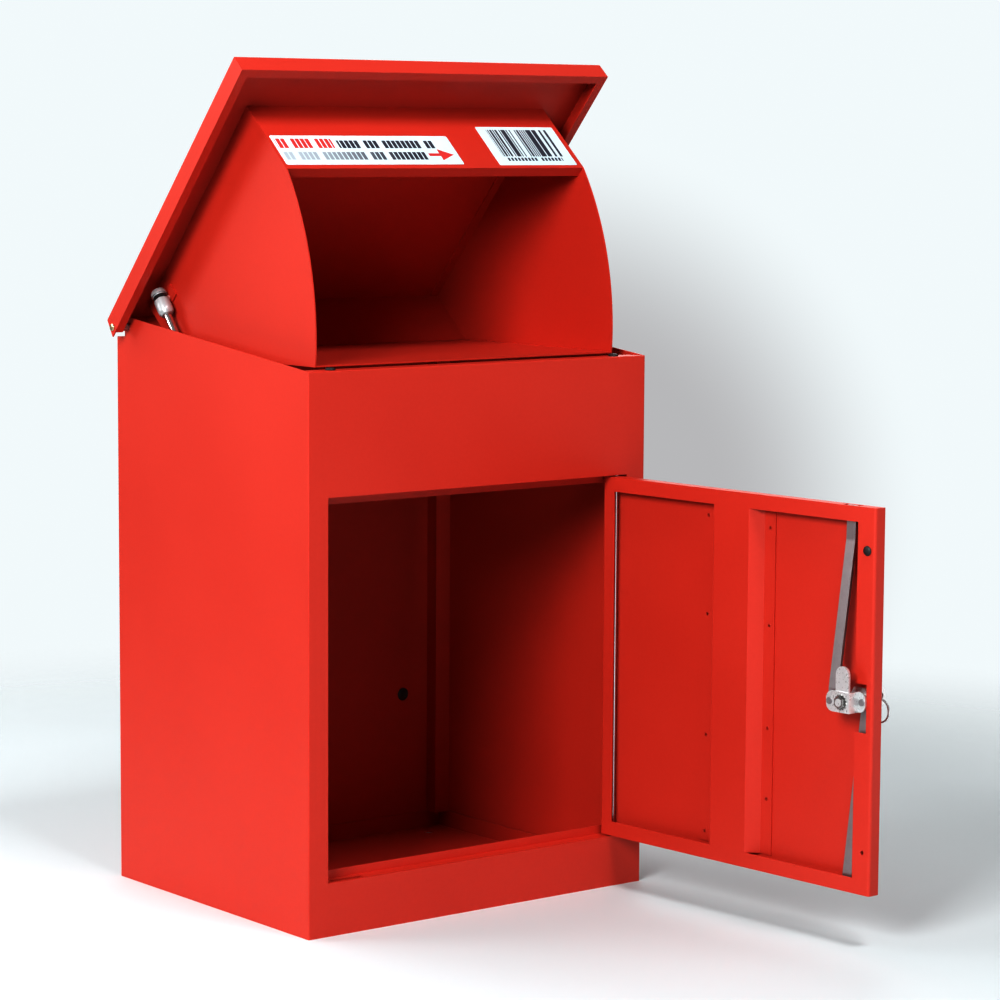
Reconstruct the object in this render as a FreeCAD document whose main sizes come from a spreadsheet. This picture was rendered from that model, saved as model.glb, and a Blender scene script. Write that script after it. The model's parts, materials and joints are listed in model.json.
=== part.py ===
import FreeCAD, Part
import math
import os
import Sketcher

# A steel parcel box with its lid raised and its front door open.
# Origin: middle of the footprint, on the ground. X to the right, Y to the back, Z up.
# Millimetres and degrees.

SIZES = {
    # sheet metal
    "sheet": 1.5, "bend": 2.5, "edge_round": 1.2,
    # cabinet
    "body_width": 440, "body_depth": 360, "front_height": 575, "back_rise": 41,
    "notch_depth": 17, "notch_height": 24.5,
    "frame_side": 24, "frame_bottom": 55, "frame_top": 127,
    "rebate_depth": 17.5, "stop_lip": 9, "top_flange": 22, "side_flange": 15,
    "floor_edge": 20, "floor_hole_side": 40, "floor_hole_end": 30, "anchor_hole": 10,
    "wall_hole_side": 57, "wall_hole_low": 162, "wall_hole_span": 280,
    "post_width": 20, "post_depth": 17,
    "stop_inset": 35, "stop_setback": 12, "stop_size": 11, "stop_rise": 3, "stop_stem": 5,
    # lid and its hinge pins
    "lid_hinge_inset": 22, "lid_hinge_drop": 13, "pin_size": 5, "run_clearance": 0.05, "side_clearance": 0.3,
    "pin_head": 8, "spacer_size": 9, "pin_nut": 8, "pin_nut_height": 4,
    "lid_side_overhang": 18.5, "lid_front_overhang": 29.4, "lid_rise": 14.1, "lid_depth": 21, "lid_lip": 10,
    "lid_tail": 1, "lid_ear": 7.5, "tail_lip": 7, "lid_angle": 48.26,
    # drop chute under the lid
    "chute_inset": 25.5, "header_setback": 35, "header_drop": 82, "mouth_angle": 53,
    "tray_start": 18, "chute_flange": 12,
    # gas strut
    "ball_reach": 54, "ball_drop": 12, "ball_size": 10, "ball_clearance": 0.15, "ball_neck": 6,
    "ball_plate": 2, "ball_plate_long": 26, "ball_plate_wide": 16,
    "strut_length": 230, "strut_angle": 39, "strut_rod_size": 8, "cylinder_size": 18, "cylinder_wall": 1.2,
    "cylinder_length": 118, "cylinder_start": 12, "gland_length": 10, "piston_length": 8,
    "socket_size": 17, "socket_below": 22, "socket_above": 9, "socket_round": 3,
    "eye_size": 22, "eye_hole": 14, "eye_thick": 6, "eye_neck": 5,
    "stud_size": 5, "stud_head": 19, "stud_gap": 1, "stud_shift_y": -3.8, "stud_shift_z": -1.0,
    # door
    "door_gap": 1.5, "door_depth": 14.75, "hinge_edge": 9.5, "hinge_skin": 4.75, "door_angle": 93.5,
    "hinge_rod_size": 5, "hinge_rod_end": 6, "lip_free": 23, "lip_hinge": 17, "lip_ends": 15.5,
    "hat_face": 50, "hat_middle": 182, "hat_flange": 15, "door_bend": 3,
    "buffer_inset": 10, "buffer_size": 10, "buffer_rise": 2.5, "buffer_stem": 4, "buffer_end_gap": 43,
    # lock and lock rods
    "lock_inset": 27, "barrel_size": 16, "barrel_rise": 2, "rosette_size": 26, "rosette_thick": 3,
    "lock_nut": 24, "lock_nut_height": 3, "plug_size": 12, "collar_size": 14, "axle_size": 8,
    "cam_sheet": 1.8, "cam_width": 21, "cam_low": 0.4, "cam_rise": 15, "cam_end": 4.5, "cam_step": 9,
    "cam_round": 8, "cam_nut": 12, "cam_nut_height": 4, "pin_radius": 15,
    "rivet_size": 5, "rivet_head": 7, "rivet_head_height": 1,
    "tongue_reach": 36, "tongue_width": 17.4, "tongue_sheet": 2.5,
    "rod_width": 12, "rod_sheet": 3, "rod_pan_level": 8, "rod_gap": 0.5,
    "rod_flat": 12, "rod_slope_end": 160, "rod_round": 5,
    "guide_inset": 36, "guide_length": 22, "guide_width": 7, "strike_length": 40,
    "lip_notch_above": 18, "lip_notch_below": 31, "lip_notch_edge": 8,
    "key_bow": 24, "key_sheet": 1.8, "key_blade": 7, "key_depth": 12, "key_hole": 8, "key_neck": 8,
    "ring_size": 24, "ring_wire": 1.6,
}


class Size:
    """A number now, together with the expression that works it out from the sheet of sizes."""

    def __init__(self, value, text):
        self.value = value
        self.text = text

    def __neg__(self):
        return 0 - self

    def __add__(self, other):
        return joined(self, "+", other)

    def __radd__(self, other):
        return joined(other, "+", self)

    def __sub__(self, other):
        return joined(self, "-", other)

    def __rsub__(self, other):
        return joined(other, "-", self)

    def __mul__(self, other):
        return joined(self, "*", other)

    def __rmul__(self, other):
        return joined(other, "*", self)

    def __truediv__(self, other):
        return joined(self, "/", other)

    def __rtruediv__(self, other):
        return joined(other, "/", self)


def sized(number):
    if isinstance(number, Size):
        return number
    return Size(float(number), repr(float(number)))


def joined(left, sign, right):
    first = sized(left)
    second = sized(right)
    results = {
        "+": lambda a, b: a + b,
        "-": lambda a, b: a - b,
        "*": lambda a, b: a * b,
        "/": lambda a, b: a / b,
    }
    return Size(results[sign](first.value, second.value), f"({first.text} {sign} {second.text})")


def cos(angle):
    return Size(math.cos(math.radians(sized(angle).value)), f"cos({sized(angle).text})")


def sin(angle):
    return Size(math.sin(math.radians(sized(angle).value)), f"sin({sized(angle).text})")


def arctan(slope):
    return Size(math.degrees(math.atan(slope.value)), f"atan({slope.text})")


def root(number):
    return Size(math.sqrt(number.value), f"sqrt({number.text})")


doc = FreeCAD.newDocument("ParcelBox")
sheet_of_sizes = doc.addObject("Spreadsheet::Sheet", "Sizes")
for row, (alias, number) in enumerate(SIZES.items(), start=1):
    sheet_of_sizes.set(f"A{row}", alias)
    sheet_of_sizes.set(f"B{row}", str(number))
    sheet_of_sizes.setAlias(f"B{row}", alias)
doc.recompute()


def size(alias):
    return Size(float(SIZES[alias]), f"Sizes.{alias}")


# Modelling helpers

PLANE_NORMALS = {"XY_Plane": 1, "YZ_Plane": 1, "XZ_Plane": -1}
AXES = {"x": "vector(1; 0; 0)", "y": "vector(0; 1; 0)", "z": "vector(0; 0; 1)"}
parts = []


def place(x, y, z, axis="z", angle=0):
    """Expression for a move to a point, then a turn about one axis."""
    base = "; ".join(sized(value).text for value in (x, y, z))
    return f"placement(vector({base}); rotation({AXES[axis]}; {sized(angle).text}))"


def keep(piece, name, frame=None):
    piece.Label = name
    if frame:
        piece.setExpression("Placement", frame)
    parts.append(piece)
    return piece


def new_body(name, frame=None):
    return keep(doc.addObject("PartDesign::Body", name), name, frame)


def loose_body(name, frame):
    """A body that is one of several solids in a group."""
    body = doc.addObject("PartDesign::Body", name)
    body.setExpression("Placement", frame)
    return body


def group(name, bodies):
    compound = doc.addObject("Part::Compound", name)
    compound.Links = bodies
    return keep(compound, name)


def rect(x0, y0, x1, y1):
    return [(x0, y0), (x1, y0), (x1, y1), (x0, y1)]


def circle(x, y, diameter):
    return ("circle", x, y, diameter / 2)


def hexagon(x, y, across_flats):
    reach = across_flats / (2 * cos(30))
    return [(x + reach * cos(60 * k), y + reach * sin(60 * k)) for k in range(6)]


def hold(sketch, kind, geometry, point, wanted):
    """Fix one coordinate of a point by its expression."""
    constraint = Sketcher.Constraint(kind, -1, 1, geometry, point, wanted.value)
    sketch.setExpression(f"Constraints[{sketch.addConstraint(constraint)}]", wanted.text)


def hold_radius(sketch, geometry, radius):
    constraint = Sketcher.Constraint("Radius", geometry, radius.value)
    sketch.setExpression(f"Constraints[{sketch.addConstraint(constraint)}]", radius.text)


def arc_between(start, end, radius):
    """Arc from start to end, counter-clockwise for a positive radius, shorter way round."""
    across = end - start
    rise = math.sqrt(radius ** 2 - (across.Length / 2) ** 2)
    side = FreeCAD.Vector(-across.y, across.x, 0).normalize() * math.copysign(1, radius)
    middle = start + across / 2 + side * (rise - abs(radius))
    return Part.Arc(start, middle, end)


def draw_circle(sketch, loop):
    _, x, y, radius = loop
    centre = FreeCAD.Vector(sized(x).value, sized(y).value, 0)
    index = sketch.addGeometry(Part.Circle(centre, FreeCAD.Vector(0, 0, 1), sized(radius).value), False)
    hold(sketch, "DistanceX", index, 3, sized(x))
    hold(sketch, "DistanceY", index, 3, sized(y))
    hold_radius(sketch, index, sized(radius))


def draw_outline(sketch, loop):
    """A closed outline; a third value on a corner starts an arc, counter-clockwise if positive."""
    corners = [FreeCAD.Vector(sized(corner[0]).value, sized(corner[1]).value, 0) for corner in loop]
    indices = []
    starts = []
    for number, corner in enumerate(loop):
        start = corners[number]
        end = corners[(number + 1) % len(loop)]
        clockwise = len(corner) == 3 and sized(corner[2]).value < 0
        starts.append(2 if clockwise else 1)
        if len(corner) == 3:
            edge = arc_between(start, end, sized(corner[2]).value)
        else:
            edge = Part.LineSegment(start, end)
        indices.append(sketch.addGeometry(edge, False))
    for number, corner in enumerate(loop):
        following = (number + 1) % len(loop)
        finish = 3 - starts[number]
        link = Sketcher.Constraint(
            "Coincident", indices[number], finish, indices[following], starts[following],
        )
        sketch.addConstraint(link)
    for number, corner in enumerate(loop):
        hold(sketch, "DistanceX", indices[number], starts[number], sized(corner[0]))
        hold(sketch, "DistanceY", indices[number], starts[number], sized(corner[1]))
        if len(corner) == 3:
            radius = sized(corner[2])
            hold_radius(sketch, indices[number], -radius if radius.value < 0 else radius)


def draw(body, plane, loops, level):
    """Sketch of closed loops on one of the body's own planes, at a level along that plane's axis."""
    sketch = body.newObject("Sketcher::SketchObject", "Sketch")
    support = [feature for feature in body.Origin.OriginFeatures if feature.Role == plane][0]
    sketch.AttachmentSupport = (support, [""])
    sketch.MapMode = "FlatFace"
    sketch.setExpression("AttachmentOffset.Base.z", (PLANE_NORMALS[plane] * level).text)
    for loop in loops:
        if loop[0] == "circle":
            draw_circle(sketch, loop)
        else:
            draw_outline(sketch, loop)
    return sketch


def pad(body, plane, loops, low, high):
    """Add material between two levels along the plane's axis."""
    level = low if PLANE_NORMALS[plane] > 0 else high
    feature = body.newObject("PartDesign::Pad", "Pad")
    feature.Profile = draw(body, plane, loops, sized(level))
    feature.setExpression("Length", (sized(high) - low).text)
    return feature


def cut(body, plane, loops, low, high):
    """Remove material between two levels along the plane's axis."""
    level = high if PLANE_NORMALS[plane] > 0 else low
    feature = body.newObject("PartDesign::Pocket", "Pocket")
    feature.Profile = draw(body, plane, loops, sized(level))
    feature.setExpression("Length", (sized(high) - low).text)
    return feature


def turn(body, profile):
    """Turn a profile of (radius, height) corners about the body's own Z axis."""
    feature = body.newObject("PartDesign::Revolution", "Revolution")
    sketch = draw(body, "XZ_Plane", [profile], sized(0))
    feature.Profile = sketch
    feature.ReferenceAxis = (sketch, ["V_Axis"])
    feature.Angle = 360
    return feature


def tube(inner, outer, low, high):
    """Profile of a plain ring or bush, given its two diameters."""
    return rect(inner / 2, low, outer / 2, high)


def bar(diameter, low, high):
    return rect(sized(0), low, diameter / 2, high)


def round_edges(body, radius, wanted):
    """Round the edges of the solid so far whose two ends satisfy the test."""
    doc.recompute()
    base = body.Tip
    names = []
    for number, edge in enumerate(base.Shape.Edges, start=1):
        if len(edge.Vertexes) == 2 and wanted(edge.Vertexes[0].Point, edge.Vertexes[1].Point):
            names.append(f"Edge{number}")
    feature = body.newObject("PartDesign::Fillet", "Fillet")
    feature.Base = (base, names)
    feature.setExpression("Radius", sized(radius).text)
    return feature


def near(a, b):
    return abs(a - b) < 1e-4


# Values that several pieces share

sheet = size("sheet")
bend = size("bend")
half_width = size("body_width") / 2
half_depth = size("body_depth") / 2
front_height = size("front_height")
back_height = front_height + size("back_rise")
side_inner = half_width - sheet
front_inner = -half_depth + sheet
back_inner = half_depth - sheet
notch_y = half_depth - size("notch_depth")
back_top = back_height - size("notch_height")
side_slope = size("back_rise") / size("body_depth")
floor_edge = size("floor_edge")
opening_half = half_width - size("frame_side")
opening_low = size("frame_bottom")
opening_high = front_height - size("frame_top")
rebate_y = -half_depth + size("rebate_depth")
stop_x = half_width - size("stop_inset")
stop_y = -half_depth + size("stop_setback")
run = size("run_clearance")

lid_hinge_y = half_depth - size("lid_hinge_inset")
lid_hinge_z = back_height - size("lid_hinge_drop")
lid_half = half_width + size("lid_side_overhang")
closed_reach = size("body_depth") - size("lid_hinge_inset")
lid_angle = size("lid_angle")
lid_under = size("lid_rise") - sheet
LID = place(0, lid_hinge_y, lid_hinge_z, "x", -lid_angle)

chute_half = half_width - size("chute_inset")
header_reach = closed_reach - size("header_setback")
header_drop = size("header_drop")
chute_flange = size("chute_flange")
mouth_radius = root(header_reach * header_reach + header_drop * header_drop)
mouth_y = -mouth_radius * cos(size("mouth_angle"))
mouth_z = -mouth_radius * sin(size("mouth_angle"))
tray_y = -size("tray_start")
tray_z = mouth_z + (tray_y - mouth_y) * sin(lid_angle) / cos(lid_angle)

strut_x = -(side_inner + chute_half) / 2
ball_y = lid_hinge_y - size("ball_reach") * cos(lid_angle) - size("ball_drop") * sin(lid_angle)
ball_z = lid_hinge_z + size("ball_reach") * sin(lid_angle) - size("ball_drop") * cos(lid_angle)
strut_length = size("strut_length")
eye_y = ball_y - strut_length * sin(size("strut_angle"))
eye_z = ball_z - strut_length * cos(size("strut_angle"))
STRUT = place(strut_x, eye_y, eye_z, "x", -size("strut_angle"))
cylinder_start = size("cylinder_start")
cylinder_top = cylinder_start + size("cylinder_length")
bore_size = size("cylinder_size") - 2 * size("cylinder_wall")

door_outer = -size("hinge_skin")
door_inner = door_outer + size("door_depth")
door_skin = door_outer + sheet
hinge_edge = size("hinge_edge")
door_hinge_x = opening_half - size("door_gap") - hinge_edge
door_hinge_y = -half_depth + size("hinge_skin")
door_free = -(door_hinge_x + opening_half - size("door_gap"))
door_low = opening_low + size("door_gap")
door_high = opening_high - size("door_gap")
hinge_hole = size("hinge_rod_size") + 2 * run
buffer_x = door_free + size("buffer_inset")
buffer_z = door_high - size("buffer_end_gap")
DOOR = place(door_hinge_x, door_hinge_y, 0, "z", size("door_angle"))

lock_x = door_free + size("lock_inset")
lock_z = (door_low + door_high) / 2
LOCK = f"{DOOR} * {place(lock_x, 0, lock_z)}"
LOCK_AXLE = f"{LOCK} * {place(0, 0, 0, 'x', -90)}"
barrel_end = door_inner + size("barrel_rise")
cam_low = door_inner + size("cam_low")
cam_high = door_inner + size("cam_rise")
cam_sheet = size("cam_sheet")
cam_top = cam_high + cam_sheet
tongue_low = cam_high - size("tongue_sheet")
pin_radius = size("pin_radius")
rod_width = size("rod_width")
rod_sheet = size("rod_sheet")
rod_low = door_inner - size("rod_pan_level")
rod_raised = tongue_low - size("rod_gap") - rod_sheet
rivet_hole = size("rivet_size") + 2 * run
guide_x = door_free + size("guide_inset")
guide_y = rod_low + rod_sheet / 2
guide_half = size("guide_length") / 2
guide_rise = door_high - lock_z


def body_wrap():
    """Left side, back and right side, folded from one sheet, with the hinge notch at the top of the back."""
    body = new_body("body_wrap")
    plan = [
        (-half_width, front_inner), (-side_inner, front_inner), (-side_inner, back_inner),
        (side_inner, back_inner), (side_inner, front_inner), (half_width, front_inner),
        (half_width, half_depth), (-half_width, half_depth),
    ]
    pad(body, "XY_Plane", [plan], 0, back_height)
    side_top = [
        (-half_depth, front_height), (notch_y, front_height + side_slope * (notch_y + half_depth)),
        (notch_y, back_top), (half_depth + sheet, back_top), (half_depth + sheet, back_height + sheet),
        (-half_depth, back_height + sheet),
    ]
    cut(body, "YZ_Plane", [side_top], -half_width - sheet, half_width + sheet)
    back_flange = rect(-side_inner, notch_y, side_inner, half_depth - sheet / 2)
    pad(body, "XY_Plane", [back_flange], back_top - sheet, back_top)
    pin_hole = circle(lid_hinge_y, lid_hinge_z, size("pin_size") + 2 * run)
    cut(body, "YZ_Plane", [pin_hole], -half_width - sheet, half_width + sheet)
    across = half_width - size("wall_hole_side")
    low = size("wall_hole_low")
    high = low + size("wall_hole_span")
    holes = [circle(x, z, size("anchor_hole")) for x in (-across, across) for z in (low, high)]
    cut(body, "XZ_Plane", holes, back_inner - sheet, half_depth + sheet)
    side = half_width.value
    back = half_depth.value

    def on_rear_corner(a, b):
        return near(a.x, b.x) and near(abs(a.x), side) and near(a.y + b.y, 2 * back)

    round_edges(body, bend, on_rear_corner)


def opening_rect(margin):
    return rect(-opening_half - margin, opening_low - margin, opening_half + margin, opening_high + margin)


def front_panel():
    """Front sheet with its side and top flanges, and the rebate and stop lip round the door opening."""
    body = new_body("front_panel")
    face = rect(-half_width, 0, half_width, front_height)
    pad(body, "XZ_Plane", [face, opening_rect(sized(0))], -half_depth, front_inner)
    pad(body, "XZ_Plane", [opening_rect(sheet), opening_rect(sized(0))], front_inner, rebate_y)
    pad(body, "XZ_Plane", [opening_rect(sheet), opening_rect(-size("stop_lip"))], rebate_y, rebate_y + sheet)
    flange_back = -half_depth + size("top_flange")
    top_flange = rect(-side_inner, front_inner, side_inner, flange_back)
    pad(body, "XY_Plane", [top_flange], front_height - sheet, front_height)
    side_back = front_inner + size("side_flange")
    for side in (-1, 1):
        flange = rect(side * (side_inner - sheet), front_inner, side * side_inner, side_back)
        pad(body, "XY_Plane", [flange], 0, front_height)
    hinge = circle(door_hinge_x, door_hinge_y, hinge_hole)
    strike_x = door_hinge_x + guide_x + guide_half
    strike_y = door_hinge_y + guide_y
    strike = rect(
        strike_x - size("strike_length"), strike_y - size("guide_width") / 2,
        strike_x, strike_y + size("guide_width") / 2,
    )
    cut(body, "XY_Plane", [hinge, strike], opening_high - sheet, opening_high + 2 * sheet)
    cut(body, "XY_Plane", [hinge, strike], opening_low - 2 * sheet, opening_low + sheet)
    stems = [circle(x, stop_y, size("stop_stem")) for x in (-stop_x, stop_x)]
    cut(body, "XY_Plane", stems, front_height - 2 * sheet, front_height + sheet)
    front = -half_depth.value
    side = half_width.value
    top = front_height.value

    def on_corner(a, b):
        upright = near(a.x, b.x) and near(abs(a.x), side)
        return near(a.y, front) and near(b.y, front) and (upright or near(a.z + b.z, 2 * top))

    round_edges(body, size("edge_round"), on_corner)


def floor_pan():
    """Floor sheet with its edges folded up all round, and the four floor-anchor holes."""
    body = new_body("floor_pan")
    edge = side_inner - sheet
    pad(body, "XY_Plane", [rect(-edge, front_inner, edge, back_inner)], 0, floor_edge)
    inside = rect(-edge + sheet, front_inner + sheet, edge - sheet, back_inner - sheet)
    cut(body, "XY_Plane", [inside], sheet, floor_edge + sheet)
    across = half_width - size("floor_hole_side")
    along = half_depth - size("floor_hole_end")
    holes = [circle(x, y, size("anchor_hole")) for x in (-across, across) for y in (-along, along)]
    cut(body, "XY_Plane", holes, -sheet, 2 * sheet)


def rear_corner_posts():
    """Folded angles that box in the two back corners, from the floor's edges to the back flange."""
    for side, name in ((-1, "rear_corner_post_left"), (1, "rear_corner_post_right")):
        body = new_body(name)
        inner = side_inner - size("post_width")
        front = back_inner - size("post_depth")
        angle = [
            (side * inner, front), (side * side_inner, front), (side * side_inner, front + sheet),
            (side * (inner + sheet), front + sheet), (side * (inner + sheet), back_inner),
            (side * inner, back_inner),
        ]
        pad(body, "XY_Plane", [angle], floor_edge, back_top - sheet)


def rubber_button(body, head, rise, stem, thickness):
    """Rubber button: a domed head on one face of the sheet and a barbed stem through it."""
    turn(body, [
        (sized(0), rise), (sized(0), -thickness - rise), (stem / 2, -thickness - rise), (stem / 2, sized(0)),
        (head / 2, sized(0)), (head / 2, rise / 2), (head / 2 - rise / 2, rise),
    ])


def lid_stops():
    """Two rubber buttons on the front panel's top flange, under the closed lid."""
    buttons = []
    for side in (-1, 1):
        button = loose_body("lid_stop", place(side * stop_x, stop_y, front_height))
        rubber_button(button, size("stop_size"), size("stop_rise"), size("stop_stem") - 2 * run, sheet)
        buttons.append(button)
    group("lid_stops", buttons)


def lid_hinges():
    """On each side a headed pin through the lid flange, a spacer to the cabinet, and a nut inside it."""
    pins = []
    spacers = []
    nuts = []
    lid_inner = lid_half - sheet
    head_start = lid_half + size("side_clearance")
    nut_height = size("pin_nut_height")
    pin_size = size("pin_size")
    bore = pin_size + 2 * run
    for side in (-1, 1):
        axle = place(0, lid_hinge_y, lid_hinge_z, "y", side * 90)
        pin = loose_body("lid_hinge_pin", axle)
        pin_start = side_inner - nut_height - sheet
        turn(pin, [
            (sized(0), pin_start), (pin_size / 2, pin_start), (pin_size / 2, head_start),
            (size("pin_head") / 2, head_start), (size("pin_head") / 2, head_start + sheet),
            (sized(0), head_start + sheet),
        ])
        pins.append(pin)
        spacer = loose_body("lid_hinge_spacer", axle)
        turn(spacer, tube(bore, size("spacer_size"), half_width, lid_inner - size("side_clearance")))
        spacers.append(spacer)
        nut = loose_body("lid_hinge_nut", axle)
        loops = [hexagon(sized(0), sized(0), size("pin_nut")), circle(0, 0, bore)]
        pad(nut, "XY_Plane", loops, side_inner - nut_height, side_inner)
        nuts.append(nut)
    group("lid_hinge_pins", pins)
    group("lid_hinge_spacers", spacers)
    group("lid_hinge_nuts", nuts)


def lid_pan():
    """Lid folded from one sheet: deep flanges with a return lip, a shallow lip behind and hinge ears."""
    body = new_body("lid_pan", LID)
    reach = closed_reach + size("lid_front_overhang")
    tail = size("lid_tail")
    ear = size("lid_ear")
    rise = size("lid_rise")
    low = rise - size("lid_depth")
    lip = size("lid_lip")
    inner_half = lid_half - sheet
    pad(body, "XY_Plane", [rect(-lid_half, -reach, lid_half, ear)], low, rise)
    top = rise.value
    side = lid_half.value
    front = -reach.value

    def on_bend(a, b):
        beside = near(a.x, b.x) and near(abs(a.x), side)
        before = near(a.y, front) and near(b.y, front)
        return near(a.z, top) and near(b.z, top) and (beside or before)

    round_edges(body, bend, on_bend)
    inside = rect(-inner_half, -reach + sheet, inner_half, ear + sheet)
    cut(body, "XY_Plane", [inside], low - sheet, lid_under)
    behind = rect(-inner_half, tail, inner_half, ear + sheet)
    cut(body, "XY_Plane", [behind], lid_under - sheet, rise + sheet)
    lip_half = side_inner - 2 * sheet
    tail_lip = rect(-lip_half, tail - sheet, lip_half, tail)
    pad(body, "XY_Plane", [tail_lip], rise - size("tail_lip"), rise - sheet / 2)
    ear_slope = [
        (tail, rise), (ear, low), (ear + sheet, low), (ear + sheet, rise + sheet), (tail, rise + sheet),
    ]
    cut(body, "YZ_Plane", [ear_slope], -lid_half - sheet, lid_half + sheet)
    return_lip = [
        (-lid_half, tail), (-lid_half, -reach), (lid_half, -reach), (lid_half, tail),
        (lid_half - lip, tail), (lid_half - lip, -reach + lip),
        (-lid_half + lip, -reach + lip), (-lid_half + lip, tail),
    ]
    pad(body, "XY_Plane", [return_lip], low, low + sheet)
    pin_hole = circle(0, 0, size("pin_size") + 2 * run)
    cut(body, "YZ_Plane", [pin_hole], -lid_half - sheet, lid_half + sheet)


def chute_cheeks():
    """Side walls of the drop chute; the front edge is an arc about the lid hinge."""
    for side, name in ((-1, "chute_cheek_left"), (1, "chute_cheek_right")):
        body = new_body(name, LID)
        outline = [
            (tray_y, lid_under), (-header_reach, lid_under), (-header_reach, -header_drop, mouth_radius),
            (mouth_y, mouth_z), (tray_y, tray_z),
        ]
        outer = side * chute_half
        inner = side * (chute_half - sheet)
        flange_edge = side * (chute_half - chute_flange)
        flange = rect(inner, -header_reach + chute_flange, flange_edge, tray_y - sheet)
        pad(body, "YZ_Plane", [outline], min((inner, outer), key=lambda s: s.value),
            max((inner, outer), key=lambda s: s.value))
        pad(body, "XY_Plane", [flange], lid_under - sheet, lid_under)


def chute_tray():
    """Back and floor of the chute, one folded sheet; the floor lies level with the lid raised."""
    body = new_body("chute_tray", LID)
    section = [
        (tray_y, lid_under), (tray_y - sheet, lid_under),
        (tray_y - sheet, tray_z + sheet / cos(lid_angle) - sheet * sin(lid_angle) / cos(lid_angle)),
        (mouth_y - sheet * sin(lid_angle), mouth_z + sheet * cos(lid_angle)),
        (mouth_y, mouth_z), (tray_y, tray_z),
    ]
    pad(body, "YZ_Plane", [section], -chute_half + sheet, chute_half - sheet)


def header_panel():
    """Panel above the chute mouth, with a return at the bottom and a weld flange against the lid."""
    body = new_body("header_panel", LID)
    front = -header_reach
    back = front + chute_flange
    section = [
        (front, -header_drop), (back, -header_drop),
        (back, -header_drop + sheet), (front + sheet, -header_drop + sheet),
        (front + sheet, lid_under - sheet), (back, lid_under - sheet), (back, lid_under), (front, lid_under),
    ]
    pad(body, "YZ_Plane", [section], -chute_half + sheet, chute_half - sheet)


def strut_mounts():
    """Plate and ball stud on the left cheek for the strut's top, headed stud for its foot."""
    plate_outer = -chute_half - size("ball_plate")
    plate = new_body("strut_ball_plate", LID)
    long = size("ball_plate_long") / 2
    wide = size("ball_plate_wide") / 2
    middle_y = -size("ball_reach")
    middle_z = -size("ball_drop")
    outline = rect(middle_y - long, middle_z - wide, middle_y + long, middle_z + wide)
    pad(plate, "YZ_Plane", [outline], plate_outer, -chute_half)
    stud = new_body("strut_ball_stud", f"{LID} * {place(strut_x, middle_y, middle_z, 'y', 90)}")
    ball = size("ball_size") / 2
    neck = size("ball_neck") / 2
    flat = ball / 2
    turn(stud, [
        (sized(0), -ball), (flat, -ball), (ball, -flat), (ball, flat), (neck, ball),
        (neck, plate_outer - strut_x), (sized(0), plate_outer - strut_x),
    ])
    low_y = eye_y + size("stud_shift_y")
    low_z = eye_z + size("stud_shift_z")
    low_stud = new_body("strut_lower_stud", place(-side_inner, low_y, low_z, "y", 90))
    eye_middle = strut_x + side_inner
    eye_half = size("eye_thick") / 2
    base_end = eye_middle - eye_half - size("stud_gap")
    head_start = eye_middle + eye_half + size("stud_gap")
    shank = size("stud_size") / 2
    head = size("stud_head") / 2
    turn(low_stud, [
        (sized(0), sized(0)), (2 * shank, sized(0)), (2 * shank, base_end), (shank, base_end),
        (shank, head_start), (head, head_start), (head, head_start + sheet), (sized(0), head_start + sheet),
    ])


def gas_strut():
    """Cylinder with its gland and eye below, rod with its piston and ball socket above."""
    outer = size("cylinder_size")
    rod_size = size("strut_rod_size")
    end_wall = 4 * size("cylinder_wall")
    gland_low = cylinder_top - size("gland_length")
    cylinder = new_body("strut_cylinder", STRUT)
    turn(cylinder, [
        (sized(0), cylinder_start), (outer / 2, cylinder_start), (outer / 2, cylinder_top),
        (bore_size / 2, cylinder_top), (bore_size / 2, cylinder_start + end_wall),
        (sized(0), cylinder_start + end_wall),
    ])
    gland = new_body("strut_gland", STRUT)
    turn(gland, tube(rod_size + 2 * run, bore_size, gland_low, cylinder_top))
    eye = new_body("strut_eye", STRUT)
    eye_half = size("eye_thick") / 2
    pad(eye, "YZ_Plane", [circle(0, 0, size("eye_size"))], -eye_half, eye_half)
    pad(eye, "XY_Plane", [circle(0, 0, size("eye_neck"))], size("eye_hole") / 2, cylinder_start)
    cut(eye, "YZ_Plane", [circle(0, 0, size("eye_hole"))], -size("eye_thick"), size("eye_thick"))
    rod = new_body("strut_rod", STRUT)
    piston_top = gland_low - 2 * sheet
    piston_low = piston_top - size("piston_length")
    socket_low = strut_length - size("socket_below")
    turn(rod, bar(rod_size, piston_low, socket_low))
    piston = new_body("strut_piston", STRUT)
    turn(piston, tube(rod_size, bore_size - 2 * run, piston_low, piston_top))
    socket = new_body("strut_socket", STRUT)
    radius = size("socket_size") / 2
    socket_top = strut_length + size("socket_above")
    edge = size("socket_round")
    turn(socket, [
        (sized(0), socket_low), (radius, socket_low), (radius, socket_top - edge),
        (radius - edge, socket_top), (sized(0), socket_top),
    ])
    bore = circle(0, strut_length, size("ball_size") + 2 * size("ball_clearance"))
    cut(socket, "YZ_Plane", [bore], -size("socket_size"), size("socket_size"))


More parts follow.
